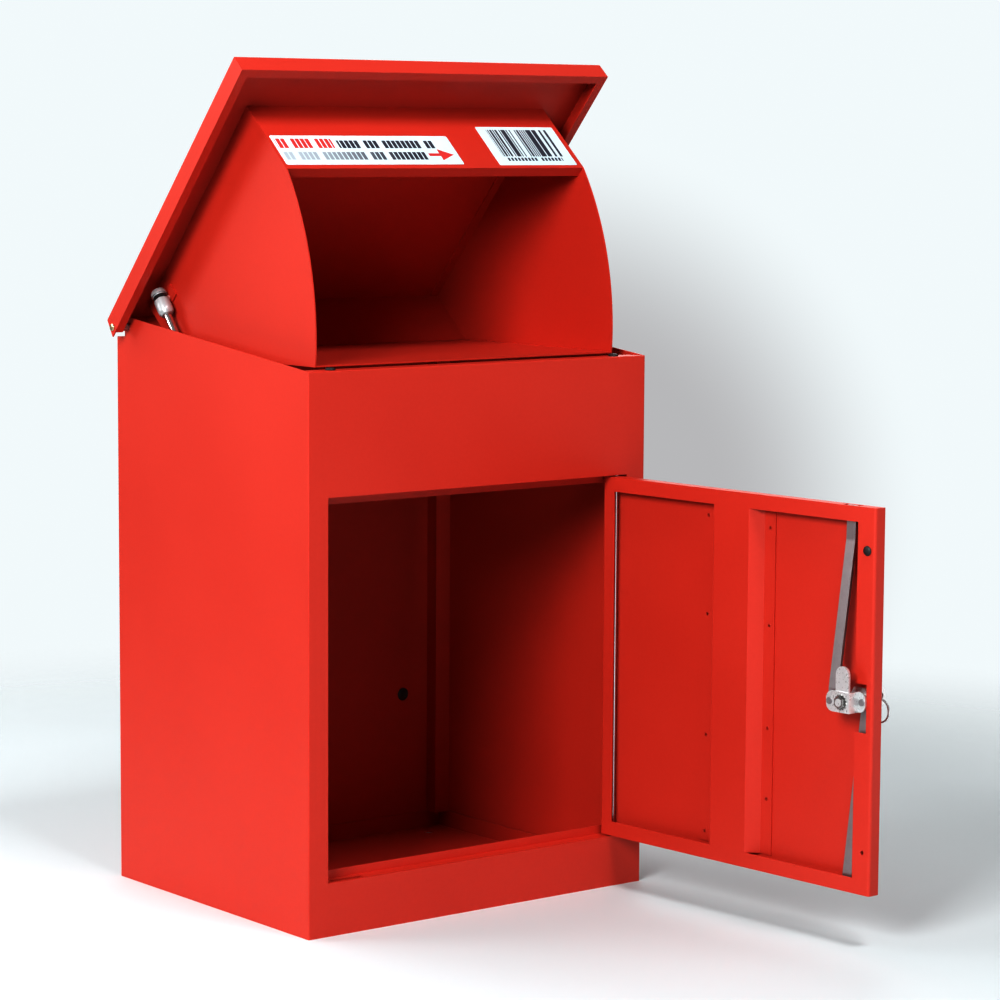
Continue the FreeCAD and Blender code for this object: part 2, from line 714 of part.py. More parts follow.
def door_pan():
    """Door folded from one sheet into a pan with return lips, cut for its rods, hinge, lock and buffers."""
    body = new_body("door_pan", DOOR)
    pad(body, "XY_Plane", [rect(door_free, door_outer, hinge_edge, door_inner)], door_low, door_high)
    cavity = rect(door_free + sheet, door_low + sheet, hinge_edge - sheet, door_high - sheet)
    cut(body, "XZ_Plane", [cavity], door_skin, door_inner - sheet)
    lip_ends = size("lip_ends")
    between = rect(
        door_free + size("lip_free"), door_low + lip_ends,
        hinge_edge - size("lip_hinge"), door_high - lip_ends,
    )
    cut(body, "XZ_Plane", [between], door_inner - 2 * sheet, door_inner + sheet)
    notch = rect(
        door_free + size("lip_notch_edge"), lock_z - size("lip_notch_below"),
        door_free + size("lip_free") + sheet, lock_z + size("lip_notch_above"),
    )
    cut(body, "XZ_Plane", [notch], door_inner - 2 * sheet, door_inner + sheet)
    hinge = circle(0, 0, hinge_hole)
    half_slot = size("guide_width") / 2
    guide = rect(guide_x - guide_half, guide_y - half_slot, guide_x + guide_half, guide_y + half_slot)
    cut(body, "XY_Plane", [hinge, guide], door_high - 2 * sheet, door_high + sheet)
    cut(body, "XY_Plane", [hinge, guide], door_low - sheet, door_low + 2 * sheet)
    barrel = circle(lock_x, lock_z, size("barrel_size") + 2 * run)
    cut(body, "XZ_Plane", [barrel], door_outer - sheet, door_skin + sheet)
    buffer_levels = (buffer_z, door_low + size("buffer_end_gap"))
    buffers = [circle(buffer_x, z, size("buffer_stem")) for z in buffer_levels]
    cut(body, "XZ_Plane", buffers, door_inner - 2 * sheet, door_inner + sheet)
    skin = door_outer.value
    ends = (door_low.value, door_high.value)
    sides = (door_free.value, hinge_edge.value)

    def on_rim(point):
        on_end = any(near(point.z, end) for end in ends)
        return near(point.y, skin) and (on_end or any(near(point.x, side) for side in sides))

    round_edges(body, sheet, lambda a, b: on_rim(a) and on_rim(b))
    inner = door_inner.value

    def on_inner_bend(a, b):
        upright = near(a.x, b.x) and any(near(a.x, side) for side in sides)
        return upright and near(a.y, inner) and near(b.y, inner)

    round_edges(body, size("door_bend"), on_inner_bend)


def door_stiffener():
    """Hat section welded up the middle of the door skin, its face flush with the lips."""
    body = new_body("door_stiffener", f"{DOOR} * {place(-size('hat_middle'), door_skin, 0)}")
    face = size("hat_face") / 2
    height = door_inner - door_skin
    foot = face + height - sheet
    toe = foot + size("hat_flange")
    inner_foot = face + height - sheet * math.sqrt(2)
    inner_face = face + sheet - sheet * math.sqrt(2)
    section = [
        (-toe, sized(0)), (-inner_foot, sized(0)), (-inner_face, height - sheet),
        (inner_face, height - sheet), (inner_foot, sized(0)), (toe, sized(0)),
        (toe, sheet), (foot, sheet), (face, height), (-face, height), (-foot, sheet), (-toe, sheet),
    ]
    lip_ends = size("lip_ends")
    pad(body, "XY_Plane", [section], door_low + lip_ends, door_high - lip_ends)


def door_hardware():
    """Hinge rod in the frame's flanges, and the rubber buffer on the free lip."""
    rod = new_body("door_hinge_rod", place(door_hinge_x, door_hinge_y, 0))
    end = size("hinge_rod_end")
    turn(rod, bar(size("hinge_rod_size"), opening_low - end, opening_high + end))
    buffer = new_body("door_buffer", f"{DOOR} * {place(buffer_x, door_inner, buffer_z, 'x', -90)}")
    rubber_button(buffer, size("buffer_size"), size("buffer_rise"), size("buffer_stem") - 2 * run, sheet)


def lock_case():
    """Fixed part of the lock: barrel with its rosette outside the skin, and its nut inside."""
    barrel_size = size("barrel_size")
    bore = size("plug_size") + 2 * run
    rosette = size("rosette_size") / 2
    rosette_front = door_outer - size("rosette_thick")
    body = new_body("lock_barrel", LOCK_AXLE)
    turn(body, [
        (bore / 2, rosette_front), (rosette - sheet, rosette_front), (rosette, rosette_front + sheet),
        (rosette, door_outer), (barrel_size / 2, door_outer),
        (barrel_size / 2, barrel_end), (bore / 2, barrel_end),
    ])
    nut = new_body("lock_nut", LOCK_AXLE)
    loops = [hexagon(sized(0), sized(0), size("lock_nut")), circle(0, 0, barrel_size + 2 * run)]
    pad(nut, "XY_Plane", loops, door_skin, door_skin + size("lock_nut_height"))


def lock_works():
    """Turning part of the lock: plug, tongue, cranked cam with its nut and rivets, key and key ring."""
    axle = size("axle_size")
    axle_hole = axle + 2 * run
    key_slot = size("key_sheet") + 4 * run
    plug_front = door_outer - size("rosette_thick") - 2 * run
    collar_start = barrel_end + size("side_clearance")
    axle_end = cam_top + size("cam_nut_height")
    plug = new_body("lock_plug", LOCK_AXLE)
    turn(plug, [
        (sized(0), plug_front), (size("plug_size") / 2, plug_front), (size("plug_size") / 2, collar_start),
        (size("collar_size") / 2, collar_start), (size("collar_size") / 2, tongue_low),
        (axle / 2, tongue_low), (axle / 2, axle_end), (sized(0), axle_end),
    ])
    blade_half = size("key_blade") / 2
    slot = rect(-key_slot / 2, -blade_half - 2 * run, key_slot / 2, blade_half + 2 * run)
    blade_end = plug_front + size("key_depth")
    cut(plug, "XY_Plane", [slot], plug_front - sheet, blade_end + 2 * run)

    tongue = new_body("lock_tongue", LOCK)
    half = size("tongue_width") / 2
    reach = size("tongue_reach") - half
    outline = [
        (half, sized(0)), (half, reach, half), (sized(0), reach + half, half), (-half, reach),
        (-half, sized(0), half), (sized(0), -half, half),
    ]
    pad(tongue, "XZ_Plane", [outline, circle(0, 0, axle_hole)], tongue_low, cam_high)

    cam = new_body("rod_cam", LOCK)
    step = size("cam_step")
    end = pin_radius + size("cam_end")
    section = [
        (-end, cam_low), (-step, cam_low), (-step, cam_high), (end, cam_high), (end, cam_top),
        (-step - cam_sheet, cam_top), (-step - cam_sheet, cam_low + cam_sheet), (-end, cam_low + cam_sheet),
    ]
    pad(cam, "XY_Plane", [section], -size("cam_width") / 2, size("cam_width") / 2)
    holes = [circle(0, 0, axle_hole)]
    holes += [circle(x, 0, size("rivet_size")) for x in (-pin_radius, pin_radius)]
    cut(cam, "XZ_Plane", holes, cam_low - sheet, cam_top + sheet)
    tips = end.value

    def on_tip(a, b):
        return near(abs(a.x), tips) and near(abs(b.x), tips) and near(a.z, b.z)

    round_edges(cam, size("cam_round"), on_tip)

    nut = new_body("cam_nut", LOCK_AXLE)
    loops = [hexagon(sized(0), sized(0), size("cam_nut")), circle(0, 0, axle)]
    pad(nut, "XY_Plane", loops, cam_top, axle_end)

    rivets = []
    head = size("rivet_head") / 2
    head_height = size("rivet_head_height")
    shank = size("rivet_size") / 2
    ends = ((pin_radius, rod_raised, cam_top), (-pin_radius, rod_low, cam_low + cam_sheet))
    for x, rod_face, arm_top in ends:
        rivet = loose_body("cam_rivet", f"{LOCK} * {place(x, 0, 0, 'x', -90)}")
        low = rod_face - 4 * run
        turn(rivet, [
            (sized(0), low - head_height), (head, low - head_height), (head, low), (shank, low),
            (shank, arm_top), (head, arm_top), (head, arm_top + head_height),
            (sized(0), arm_top + head_height),
        ])
        rivets.append(rivet)
    group("cam_rivets", rivets)

    key = new_body("lock_key", LOCK)
    key_half = size("key_sheet") / 2
    bow = size("key_bow") / 2
    bow_y = plug_front - size("key_neck") - bow
    pad(key, "YZ_Plane", [circle(bow_y, 0, size("key_bow"))], -key_half, key_half)
    pad(key, "YZ_Plane", [rect(bow_y, -blade_half, blade_end, blade_half)], -key_half, key_half)
    hole_y = bow_y - bow / 3
    hole = circle(hole_y, 0, size("key_hole"))
    cut(key, "YZ_Plane", [hole], -size("key_sheet"), size("key_sheet"))

    wire = size("ring_wire")
    ring_drop = (size("key_hole") - wire + size("ring_size")) / 2 - 4 * run
    ring = new_body("key_ring", f"{LOCK} * {place(0, hole_y, -ring_drop, 'x', -90)}")
    turn(ring, tube(size("ring_size") - wire, size("ring_size") + wire, -wire / 2, wire / 2))


def lock_rods():
    """Flat rods from the cam to the guide slots in the door's top and bottom edges."""
    slant_up = arctan((size("guide_inset") - size("lock_inset") - pin_radius) / guide_rise)
    upper = new_body("lock_rod_upper", f"{LOCK} * {place(pin_radius, 0, 0, 'y', slant_up)}")
    half = rod_width / 2
    top = guide_rise - run
    side = [
        (rod_raised, -half), (rod_raised + rod_sheet, -half), (rod_raised + rod_sheet, size("rod_flat")),
        (rod_low + rod_sheet, size("rod_slope_end")), (rod_low + rod_sheet, top), (rod_low, top),
        (rod_low, size("rod_slope_end")), (rod_raised, size("rod_flat")),
    ]
    pad(upper, "YZ_Plane", [side], -half, half)
    pin_hole = circle(0, 0, rivet_hole)
    cut(upper, "XZ_Plane", [pin_hole], rod_raised - sheet, rod_raised + rod_sheet + sheet)
    foot = -half.value

    def on_foot(a, b):
        return near(a.x, b.x) and near(a.z, foot) and near(b.z, foot)

    round_edges(upper, size("rod_round"), on_foot)
    slant_down = arctan((size("lock_inset") - pin_radius - size("guide_inset")) / guide_rise)
    lower = new_body("lock_rod_lower", f"{LOCK} * {place(-pin_radius, 0, 0, 'y', slant_down)}")
    outline = [
        (-half, -top), (half, -top), (half, sized(0), half), (sized(0), half, half), (-half, sized(0)),
    ]
    pad(lower, "XZ_Plane", [outline, circle(0, 0, rivet_hole)], rod_low, rod_low + rod_sheet)


def save_parts():
    """Write each sub-part's solid, once everything has come out sound."""
    doc.recompute()
    for item in doc.Objects:
        if "Invalid" in item.State or "Error" in item.State:
            raise RuntimeError(f"{item.Label} failed: {item.State}")
    for part in parts:
        if part.Shape.isNull() or not part.Shape.isValid():
            raise RuntimeError(f"{part.Label} has no sound shape")
    os.makedirs("parts", exist_ok=True)
    for part in parts:
        part.Shape.exportStep(f"parts/{part.Label}.step")
        print(part.Label, len(part.Shape.Solids), round(part.Shape.Volume))


body_wrap()
front_panel()
floor_pan()
rear_corner_posts()
lid_stops()
lid_hinges()
lid_pan()
chute_cheeks()
chute_tray()
header_panel()
strut_mounts()
gas_strut()
door_pan()
door_stiffener()
door_hardware()
lock_case()
lock_works()
lock_rods()
save_parts()
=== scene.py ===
import json
import math

import bpy
from mathutils import Matrix, Vector


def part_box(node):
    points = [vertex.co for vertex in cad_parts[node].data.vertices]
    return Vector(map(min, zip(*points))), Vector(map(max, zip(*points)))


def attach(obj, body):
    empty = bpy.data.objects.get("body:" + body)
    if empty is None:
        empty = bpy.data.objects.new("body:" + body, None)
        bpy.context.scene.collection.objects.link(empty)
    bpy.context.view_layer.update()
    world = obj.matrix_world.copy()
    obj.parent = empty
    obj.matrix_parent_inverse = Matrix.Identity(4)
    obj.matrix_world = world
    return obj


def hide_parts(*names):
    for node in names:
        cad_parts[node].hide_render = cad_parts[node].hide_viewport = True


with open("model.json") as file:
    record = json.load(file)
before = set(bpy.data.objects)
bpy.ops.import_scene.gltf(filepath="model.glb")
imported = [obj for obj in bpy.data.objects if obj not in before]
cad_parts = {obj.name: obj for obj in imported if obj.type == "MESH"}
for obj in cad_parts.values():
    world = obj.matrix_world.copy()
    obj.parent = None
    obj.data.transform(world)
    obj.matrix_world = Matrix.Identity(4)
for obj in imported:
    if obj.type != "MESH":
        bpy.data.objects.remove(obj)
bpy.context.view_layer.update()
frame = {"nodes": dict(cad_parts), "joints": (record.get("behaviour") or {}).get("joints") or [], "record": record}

# Where the moving bodies stand at rest; every length here is in metres

JOINTS = {joint["name"]: joint for joint in frame["joints"]}
LID_RAISED = math.radians(48.26)
DOOR_OPENED = -math.radians(JOINTS["door_hinge"]["range_deg"][0])
STRUT_LEAN = math.radians(39)


def body_frame(joint, angle, axis):
    """A body's own frame: at its joint, and turned with the body."""
    return Matrix.Translation(JOINTS[joint]["pos_m"]) @ Matrix.Rotation(angle, 4, axis)


LID = body_frame("lid_hinge", -LID_RAISED, "X")
DOOR = body_frame("door_hinge", DOOR_OPENED, "Z")
LOCK = body_frame("lock_turn", DOOR_OPENED, "Z")
STRUT = body_frame("strut_pivot", -STRUT_LEAN, "X")

# Turns that point a piece's own Z to the front (-Y) or to the back (+Y) of a frame

FACING_FRONT = Matrix.Rotation(math.radians(90), 4, "X")
FACING_BACK = Matrix.Rotation(math.radians(-90), 4, "X")


class Signal:
    """A socket in a finish; arithmetic and comparison with it add Math nodes."""

    def __init__(self, finish, socket):
        self.finish = finish
        self.socket = socket

    def maths(self, operation, *terms):
        return self.finish.node("ShaderNodeMath", {"operation": operation}, dict(enumerate(terms)))

    def __add__(self, other):
        return self.maths("ADD", self, other)

    def __radd__(self, other):
        return self.maths("ADD", other, self)

    def __sub__(self, other):
        return self.maths("SUBTRACT", self, other)

    def __rsub__(self, other):
        return self.maths("SUBTRACT", other, self)

    def __mul__(self, other):
        return self.maths("MULTIPLY", self, other)

    def __rmul__(self, other):
        return self.maths("MULTIPLY", other, self)

    def __gt__(self, other):
        return self.maths("GREATER_THAN", self, other)

    def __lt__(self, other):
        return self.maths("LESS_THAN", self, other)

    def __abs__(self):
        return self.maths("ABSOLUTE", self)

    def __floor__(self):
        return self.maths("FLOOR", self)

    def between(self, low, high):
        """1 inside a band of values, 0 outside."""
        return (self > low) * (self < high)


class Wiring:
    """A node tree whose nodes are added one by one."""

    def __init__(self, tree):
        self.tree = tree

    def node(self, kind, settings, sockets, output=0):
        """Add a node: its settings first, then the values or links of its sockets."""
        made = self.tree.nodes.new(kind)
        for name, value in settings.items():
            setattr(made, name, value)
        self.fill(made, sockets)
        return Signal(self, made.outputs[output])

    def fill(self, made, sockets):
        for name, value in sockets.items():
            if isinstance(value, Signal):
                self.tree.links.new(value.socket, made.inputs[name])
            else:
                made.inputs[name].default_value = value

    def ramp(self, value, low, high):
        """Smooth step from 0 at low to 1 at high."""
        settings = {"interpolation_type": "SMOOTHSTEP"}
        return self.node("ShaderNodeMapRange", settings, {"Value": value, "From Min": low, "From Max": high})

    def blend(self, amount, first, second):
        """Colour between two colours."""
        return self.node("ShaderNodeMix", {"data_type": "RGBA"}, {0: amount, 6: first, 7: second}, 2)


class Finish(Wiring):
    """A material; its varying parts are built as signals."""

    def __init__(self, name):
        self.material = bpy.data.materials.new(name)
        self.material.use_nodes = True
        super().__init__(self.material.node_tree)

    def surface(self, sockets):
        self.fill(self.tree.nodes["Principled BSDF"], sockets)

    def place(self):
        return self.node("ShaderNodeTexCoord", {}, {}, "Object")

    def local(self, matrix):
        """Coordinates in a piece's own frame."""
        sockets = {"Vector": self.place(), "Location": matrix.translation, "Rotation": matrix.to_euler()}
        return self.node("ShaderNodeMapping", {"vector_type": "TEXTURE"}, sockets)

    def stretched(self, factors):
        return self.node("ShaderNodeMapping", {}, {"Vector": self.place(), "Scale": factors})

    def noise(self, place, scale, detail=2, roughness=0.5):
        sockets = {"Vector": place, "Scale": scale, "Detail": detail, "Roughness": roughness}
        return self.node("ShaderNodeTexNoise", {}, sockets)

    def relief(self, height, strength, distance):
        sockets = {"Height": height, "Strength": strength, "Distance": distance}
        return self.node("ShaderNodeBump", {}, sockets)


# Finishes, each with its darkest and lightest colour

RED_COAT = ((0.47, 0.0335, 0.0175, 1), (0.55, 0.0490, 0.0270, 1))
CHROME = ((0.62, 0.61, 0.61, 1), (0.76, 0.75, 0.75, 1))

# Zinc: the two colours, the roughness of its glossiest spots and how metallic it is

ZINC = {
    "bright_zinc": ((0.56, 0.57, 0.58, 1), (0.78, 0.79, 0.79, 1), 0.16, 0.72),
    "dull_zinc": ((0.29, 0.27, 0.28, 1), (0.45, 0.43, 0.44, 1), 0.30, 1.0),
    "dark_zinc": ((0.12, 0.12, 0.12, 1), (0.52, 0.51, 0.50, 1), 0.10, 1.0),
    "cast_zinc": ((0.40, 0.42, 0.43, 1), (0.54, 0.56, 0.57, 1), 0.22, 0.50),
    "rod_zinc": ((0.40, 0.36, 0.39, 1), (0.62, 0.58, 0.61, 1), 0.04, 1.0),
    "warm_zinc": ((0.46, 0.38, 0.24, 1), (0.78, 0.68, 0.46, 1), 0.18, 1.0),
}
DRAWN_ALONG_Z = (1, 1, 0.04)

# Black: the two colours, the roughness of its glossiest spots, the fineness and the depth of its grain

BLACK = {
    "black_rubber": ((0.010, 0.010, 0.011, 1), (0.030, 0.030, 0.031, 1), 0.38, 1500, 0.0001),
    "black_paint": ((0.009, 0.009, 0.009, 1), (0.020, 0.020, 0.021, 1), 0.22, 1100, 0.00005),
    "black_plastic": ((0.014, 0.014, 0.015, 1), (0.034, 0.034, 0.036, 1), 0.40, 1900, 0.00008),
}

# Nodes whose zinc differs from the bright zinc of their slot

ZINC_OF_NODE = {
    "lock_rod_upper": "dull_zinc",
    "lock_rod_lower": "dull_zinc",
    "lid_hinge_spacers": "dull_zinc",
    "cam_rivets": "dull_zinc",
    "door_hinge_rod": "rod_zinc",
}


def powder_coat():
    """Satin red powder coat: fine orange peel, a little cloudiness in colour and gloss."""
    finish = Finish("red_powder_coat")
    place = finish.place()
    peel = finish.noise(place, scale=900, roughness=0.55)
    cloud = finish.noise(place, scale=6, detail=3)
    speckle = finish.noise(place, scale=260, detail=1)
    finish.surface({
        "Base Color": finish.blend(cloud * 0.7 + speckle * 0.3, *RED_COAT),
        "Roughness": 0.38 + cloud * 0.10 + speckle * 0.06,
        "Specular IOR Level": 0.46,
        "Normal": finish.relief(peel, strength=0.10, distance=0.00025),
    })
    return finish.material


def zinc_plate(name):
    """Zinc on steel: cloudy crystals and fine drawing lines."""
    dark, light, gloss, metallic = ZINC[name]
    finish = Finish(name)
    place = finish.place()
    spangle = finish.noise(place, scale=340, detail=3, roughness=0.6)
    cloud = finish.noise(place, scale=60)
    lines = finish.noise(finish.stretched(DRAWN_ALONG_Z), scale=2600)
    finish.surface({
        "Base Color": finish.blend(spangle * 0.5 + cloud * 0.3 + lines * 0.2, dark, light),
        "Metallic": metallic,
        "Roughness": gloss + spangle * 0.16 + lines * 0.12,
        "Normal": finish.relief(lines + spangle, strength=0.12, distance=0.0001),
    })
    return finish.material


def polished_rod():
    """Hard chrome on the strut's rod, with a faint fine grain."""
    finish = Finish("polished_chrome")
    place = finish.place()
    cloud = finish.noise(place, scale=90)
    grain = finish.noise(place, scale=3000)
    finish.surface({
        "Base Color": finish.blend(cloud, *CHROME),
        "Metallic": 1.0,
        "Roughness": 0.10 + cloud * 0.06 + grain * 0.05,
        "Normal": finish.relief(grain, strength=0.04, distance=0.00005),
    })
    return finish.material


def black_finish(name):
    """Black rubber, plastic or paint, told apart by gloss and grain."""
    deep, worn, gloss, fineness, depth = BLACK[name]
    finish = Finish(name)
    place = finish.place()
    grain = finish.noise(place, scale=fineness, roughness=0.6)
    cloud = finish.noise(place, scale=70)
    finish.surface({
        "Base Color": finish.blend(cloud * 0.6 + grain * 0.4, deep, worn),
        "Roughness": gloss + cloud * 0.10 + grain * 0.08,
        "Normal": finish.relief(grain, strength=0.25, distance=depth),
    })
    return finish.material


def dress_frame():
    """Give each CAD node the finish of its slot, or the zinc that is named for it."""
    finishes = {
        "red_powder_coat": powder_coat(),
        "zinc_plated_steel": zinc_plate("bright_zinc"),
        "black_rubber": black_finish("black_rubber"),
        "black_painted_steel": black_finish("black_paint"),
        "chrome_steel": polished_rod(),
        "black_plastic": black_finish("black_plastic"),
    }
    zincs = {name: zinc_plate(name) for name in ("dull_zinc", "rod_zinc")}
    for subpart in frame["record"]["subparts"]:
        name = subpart["node"]
        zinc = zincs.get(ZINC_OF_NODE.get(name))
        materials = frame["nodes"][name].data.materials
        materials.clear()
        materials.append(zinc or finishes[subpart["material_slot"]])
    return finishes


# Modelling by hand

SMOOTH_UNDER = math.radians(35)
FACES_THAT_WAY = 0.9


def clear_selection():
    if bpy.context.object and bpy.context.object.mode != "OBJECT":
        leave_edit()
    bpy.ops.object.select_all(action="DESELECT")


def started(name, primitive, **sizes):
    """Start a piece from a primitive, with nothing else selected."""
    clear_selection()
    primitive(**sizes)
    piece = bpy.context.object
    piece.name = name
    return piece


def edit_all():
    """Enter edit mode with the whole piece selected."""
    bpy.ops.object.mode_set(mode="EDIT")
    bpy.ops.mesh.select_all(action="SELECT")


def leave_edit():
    bpy.ops.object.mode_set(mode="OBJECT")


def choose(piece, kind, wanted):
    """Select, in edit mode, the faces or the points that pass the test."""
    bpy.ops.object.mode_set(mode="EDIT")
    bpy.ops.mesh.select_mode(type=kind)
    bpy.ops.mesh.select_all(action="DESELECT")
    leave_edit()
    for element in piece.data.polygons if kind == "FACE" else piece.data.vertices:
        element.select = wanted(element)
    bpy.ops.object.mode_set(mode="EDIT")


def modified(piece, kind, **settings):
    """Give a piece a modifier and apply it."""
    modifier = piece.modifiers.new(kind.lower(), kind)
    for name, value in settings.items():
        setattr(modifier, name, value)
    bpy.context.view_layer.objects.active = piece
    bpy.ops.object.modifier_apply(modifier=modifier.name)


def settle(piece, matrix):
    """Put a piece in its place and leave its object at the origin."""
    clear_selection()
    piece.matrix_world = matrix
    piece.select_set(True)
    bpy.context.view_layer.objects.active = piece
    bpy.ops.object.transform_apply(location=True, rotation=True, scale=True)


def turned(name, sides, profile):
    """Turn a piece on Z: each step of its profile is a radius and a height."""
    radius, height = profile[0]
    circle = bpy.ops.mesh.primitive_circle_add
    piece = started(name, circle, vertices=sides, radius=radius, fill_type="NGON")
    edit_all()
    bpy.ops.transform.translate(value=(0, 0, height))
    for wider, higher in profile[1:]:
        bpy.ops.mesh.extrude_region_move(TRANSFORM_OT_translate={"value": (0, 0, higher - height)})
        bpy.ops.transform.resize(value=(wider / radius, wider / radius, 1))
        radius, height = wider, higher
    bpy.ops.mesh.select_all(action="SELECT")
    bpy.ops.mesh.normals_make_consistent(inside=False)
    leave_edit()
    return piece


def joined(name, pieces):
    """Join several pieces as one object."""
    clear_selection()
    for piece in pieces:
        piece.select_set(True)
    bpy.context.view_layer.objects.active = pieces[0]
    bpy.ops.object.join()
    pieces[0].name = name
    return pieces[0]


def repeated(name, first, places):
    """Copies of a modelled piece, one in each place, joined as a group."""
    copies = []
    for place in places:
        copy = first.copy()
        copy.data = first.data.copy()
        bpy.context.collection.objects.link(copy)
        settle(copy, place)
        copies.append(copy)
    bpy.data.objects.remove(first)
    return joined(name, copies)


def own_box(name, matrix):
    """Lowest and highest corner of a node in a body's own frame."""
    back = matrix.inverted()
    points = [back @ vertex.co for vertex in frame["nodes"][name].data.vertices]
    low = Vector([min(point[axis] for point in points) for axis in range(3)])
    high = Vector([max(point[axis] for point in points) for axis in range(3)])
    return low, high


def hand_over(piece, body, material):
    """Smooth a finished piece, give it its finish and let it ride on its body."""
    clear_selection()
    piece.select_set(True)
    bpy.context.view_layer.objects.active = piece
    bpy.ops.object.shade_smooth_by_angle(angle=SMOOTH_UNDER)
    piece.data.materials.clear()
    piece.data.materials.append(material)
    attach(piece, body)


# Labels on the header panel

HEADER_FACE = -0.303
LABEL_THICK = 0.0003
LABEL_CORNER = 0.002
LABEL_WHITE = ((0.54, 0.66, 0.71, 1), (0.64, 0.75, 0.79, 1))
DARK_INK = ((0.030, 0.034, 0.050, 1), (0.055, 0.060, 0.080, 1))
RED_INK = ((0.52, 0.045, 0.045, 1), (0.62, 0.070, 0.065, 1))
PALE_INK = ((0.36, 0.42, 0.47, 1), (0.46, 0.52, 0.57, 1))

# The notice: its width and height, its middle on the header, and its fields as left, right, low and high

NOTICE_SIZE = (0.2260, 0.0440)
NOTICE_MIDDLE = (-0.0778, -0.0545)
RED_ROW = (-0.110, -0.040, 0.0030, 0.0170)
DARK_ROW = (-0.034, 0.090, 0.0030, 0.0145)
GREY_ROW = (-0.109, 0.070, -0.0145, -0.0030)
GREY_TO_DARK = (-0.11, 0.05)
ARROW_SHAFT = (0.0745, 0.091, -0.0090, -0.0050)
ARROW_LEVEL = -0.0070
ARROW_BARBS = 0.089
ARROW_TIP = 0.107
ARROW_SLOPE = 2.1

# The striped label, given in the same way

STRIPED_SIZE = (0.1060, 0.0605)
STRIPED_MIDDLE = (0.1350, -0.0477)
STRIPE_FIELD = (-0.0410, 0.0410, -0.0165, 0.0255)
MARK_FIELD = (-0.0380, 0.0380, -0.0235, -0.0185)


def label_place(middle):
    x, z = middle
    return LID @ Matrix.Translation((x, HEADER_FACE, z)) @ FACING_FRONT


def label_sheet(name, place, size):
    """A sticker: a sheet with rounded corners and a hair of thickness."""
    sheet = started(name, bpy.ops.mesh.primitive_plane_add, size=1)
    sheet.scale = (*size, 1)
    bpy.ops.object.transform_apply(scale=True)
    edit_all()
    bpy.ops.mesh.bevel(offset=LABEL_CORNER, segments=5, affect="VERTICES")
    leave_edit()
    modified(sheet, "SOLIDIFY", thickness=LABEL_THICK, offset=1)
    settle(sheet, place)
    return sheet


class Print(Finish):
    """White vinyl label and the flat coordinates of its face."""

    def __init__(self, name, place):
        super().__init__(name)
        flat = self.local(place)
        self.across = self.node("ShaderNodeSeparateXYZ", {}, {"Vector": flat}, "X")
        self.up = self.node("ShaderNodeSeparateXYZ", {}, {"Vector": flat}, "Y")
        self.cloud = self.noise(self.place(), scale=40)
        self.colour = self.ink(*LABEL_WHITE)

    def ink(self, deep, light):
        return self.blend(self.cloud, deep, light)

    def field(self, left, right, low, high):
        return self.across.between(left, right) * self.up.between(low, high)

    def marks(self, pitch, share, seed, wanted):
        """Upright marks, one to a cell, some cells left empty by chance."""
        cell = self.across * (1 / pitch)
        number = math.floor(cell)
        sockets = {"W": number + seed}
        chance = self.node("ShaderNodeTexWhiteNoise", {"noise_dimensions": "1D"}, sockets)
        return ((cell - number) < share) * (chance < wanted)

    def overprint(self, mask, ink):
        self.colour = self.blend(mask, self.colour, ink)

    def done(self):
        self.surface({
            "Base Color": self.colour,
            "Roughness": 0.50 + self.cloud * 0.10,
            "Specular IOR Level": 0.20,
        })
        return self.material


def notice_label():
    """White notice: two rows of plain dashes, the first ones red, and a red arrow."""
    place = label_place(NOTICE_MIDDLE)
    sheet = label_sheet("notice_label", place, NOTICE_SIZE)
    label = Print("notice_print", place)
    dashes = label.marks(pitch=0.0060, share=0.76, seed=3, wanted=0.86)
    slope = abs(label.up - ARROW_LEVEL) * ARROW_SLOPE
    head = label.across.between(ARROW_BARBS, ARROW_TIP) * ((label.across + slope) < ARROW_TIP)
    dark = label.ink(*DARK_INK)
    red = label.ink(*RED_INK)
    grey = label.blend(label.ramp(label.across, *GREY_TO_DARK), label.ink(*PALE_INK), dark)
    label.overprint(label.field(*DARK_ROW) * dashes, dark)
    label.overprint(label.field(*GREY_ROW) * dashes, grey)
    label.overprint(label.field(*RED_ROW) * dashes, red)
    label.overprint(label.field(*ARROW_SHAFT), red)
    label.overprint(head, red)
    hand_over(sheet, "lid", label.done())


def striped_label():
    """White label with a plain field of upright stripes and a row of small marks."""
    place = label_place(STRIPED_MIDDLE)
    sheet = label_sheet("striped_label", place, STRIPED_SIZE)
    label = Print("stripe_print", place)
    stripes = label.marks(pitch=0.0014, share=1.0, seed=11, wanted=0.52)
    marks = label.marks(pitch=0.0046, share=0.6, seed=5, wanted=0.9)
    dark = label.ink(*DARK_INK)
    label.overprint(label.field(*STRIPE_FIELD) * stripes, dark)
    label.overprint(label.field(*MARK_FIELD) * marks, dark)
    hand_over(sheet, "lid", label.done())


# Spot welds on the door's stiffener: each row is its place across the door and its heights

WELD_RADIUS = 0.0029
WELD_RISE = 0.0005
WELD_SIDES = 24
WELD_EDGE = WELD_RISE * 0.7
WELD_RIM = WELD_RADIUS * 0.3
WELD_DISH = WELD_RISE * 0.5
SAME_LEVEL = 1e-6
FLANGE_FACE = -0.00175
WELD_ROWS = ((-0.1378, (0.417, 0.313, 0.185, 0.082)), (-0.2262, (0.412, 0.311, 0.204, 0.130)))


